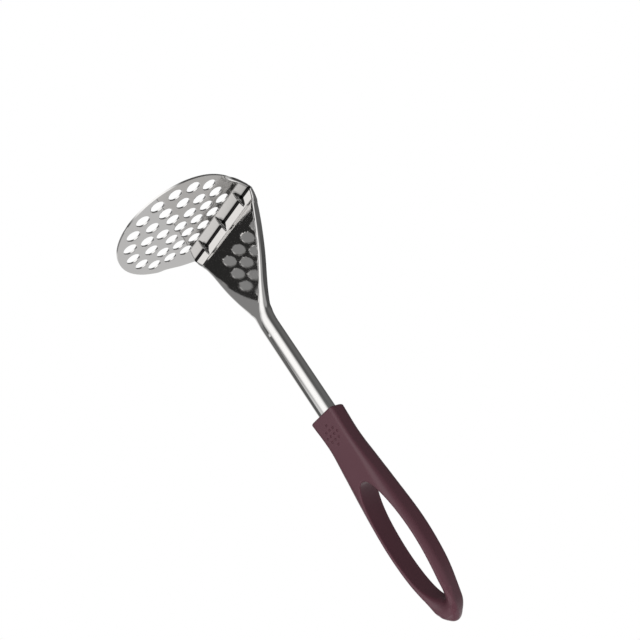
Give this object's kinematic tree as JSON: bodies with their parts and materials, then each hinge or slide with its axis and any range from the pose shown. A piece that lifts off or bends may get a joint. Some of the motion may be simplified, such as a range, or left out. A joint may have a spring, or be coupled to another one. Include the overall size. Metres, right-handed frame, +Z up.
{
  "type": "potato masher",
  "caption": "Hand masher: perforated steel plate bent up into a ribbed, flanged fan, tube stem and plum plastic handle with a long loop.",
  "frame": {"origin": "bottom centre of the whole object's bounding box, on the surface the masher stands on", "axes": "+Z up from the plate along the height; the open side of the bend faces -Y; the bend runs along X"},
  "size_m": [0.0892, 0.0863, 0.2817],
  "materials": {
    "polished_steel": "mirror-polished stainless sheet",
    "bright_tube": "bright polished stainless tube",
    "plug_nylon": "natural nylon",
    "pin_steel": "plain turned steel",
    "plum_plastic": "fine matte moulded plastic, plum"
  },
  "bodies": {
    "root": {"masher_head": "polished_steel", "stem_tube": "bright_tube", "tube_plug": "plug_nylon", "anchor_pin": "pin_steel", "loop_handle": "plum_plastic"}
  },
  "joints": []
}
